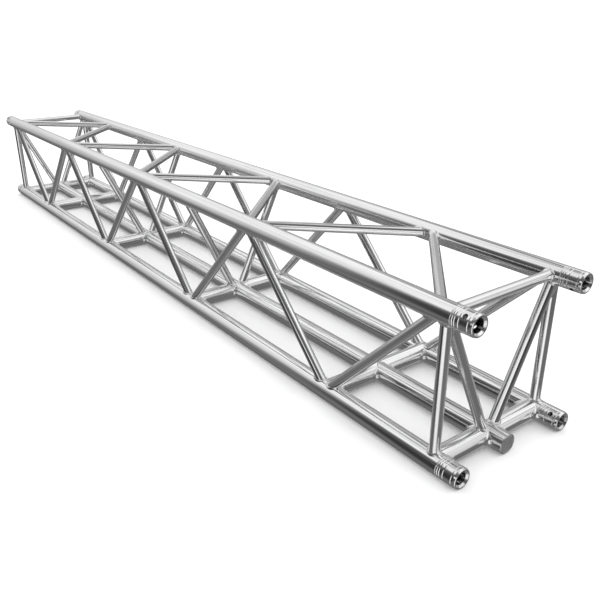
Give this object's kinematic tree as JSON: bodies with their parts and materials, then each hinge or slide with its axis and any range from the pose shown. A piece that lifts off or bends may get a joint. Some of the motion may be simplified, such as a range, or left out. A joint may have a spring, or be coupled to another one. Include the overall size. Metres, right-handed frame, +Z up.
{
  "type": "lighting truss section",
  "caption": "Straight square box truss of welded aluminium tube with zigzag braces, cross tubes, a middle bottom chord and conical coupler sockets at both ends.",
  "frame": {"origin": "middle of the underside: half way along the truss, on its centre line, at the lowest line of the bottom chords", "axes": "+X along the truss towards end A, the end nearer the camera; +Y from the front face to the rear face; +Z up"},
  "size_m": [3, 0.4, 0.4],
  "materials": {
    "chord_tube": "drawn mill finish, semi-bright, fine scratches along the tube",
    "brace_tube": "drawn mill finish, semi-bright",
    "cross_tube": "drawn mill finish, semi-bright",
    "coupler_socket": "turned, bright, with fine tool marks round it",
    "end_cap": "flat sawn face, dull"
  },
  "bodies": {
    "root": {"chord_bottom_front": "chord_tube", "chord_bottom_middle": "chord_tube", "chord_bottom_rear": "chord_tube", "chord_top_front": "chord_tube", "chord_top_rear": "chord_tube", "cross_tubes_bay_1": "cross_tube", "cross_tubes_bay_2": "cross_tube", "cross_tubes_bay_3": "cross_tube", "cross_tubes_bay_4": "cross_tube", "cross_tubes_end_a": "cross_tube", "cross_tubes_end_b": "cross_tube", "diagonal_front_1": "brace_tube", "diagonal_front_2": "brace_tube", "diagonal_front_3": "brace_tube", "diagonal_front_4": "brace_tube", "diagonal_front_5": "brace_tube", "diagonal_front_6": "brace_tube", "diagonal_front_7": "brace_tube", "diagonal_front_8": "brace_tube", "diagonal_rear_1": "brace_tube", "diagonal_rear_2": "brace_tube", "diagonal_rear_3": "brace_tube", "diagonal_rear_4": "brace_tube", "diagonal_rear_5": "brace_tube", "diagonal_rear_6": "brace_tube", "diagonal_rear_7": "brace_tube", "diagonal_rear_8": "brace_tube", "diagonal_top_1": "brace_tube", "diagonal_top_2": "brace_tube", "diagonal_top_3": "brace_tube", "diagonal_top_4": "brace_tube", "diagonal_top_5": "brace_tube", "diagonal_top_6": "brace_tube", "diagonal_top_7": "brace_tube", "diagonal_top_8": "brace_tube", "end_post_front_end_a": "brace_tube", "end_post_front_end_b": "brace_tube", "end_post_rear_end_a": "brace_tube", "end_post_rear_end_b": "brace_tube", "inner_brace_front_bay_2": "brace_tube", "inner_brace_front_bay_3": "brace_tube", "inner_brace_front_end_a": "brace_tube", "inner_brace_front_end_b": "brace_tube", "inner_brace_rear_bay_2": "brace_tube", "inner_brace_rear_bay_3": "brace_tube", "inner_brace_rear_end_a": "brace_tube", "inner_brace_rear_end_b": "brace_tube", "middle_chord_cap_end_a": "end_cap", "middle_chord_cap_end_b": "end_cap", "socket_bottom_front_end_a": "coupler_socket", "socket_bottom_front_end_b": "coupler_socket", "socket_bottom_rear_end_a": "coupler_socket", "socket_bottom_rear_end_b": "coupler_socket", "socket_top_front_end_a": "coupler_socket", "socket_top_front_end_b": "coupler_socket", "socket_top_rear_end_a": "coupler_socket", "socket_top_rear_end_b": "coupler_socket", "top_rail_end_a": "brace_tube", "top_rail_end_b": "brace_tube"}
  },
  "joints": []
}
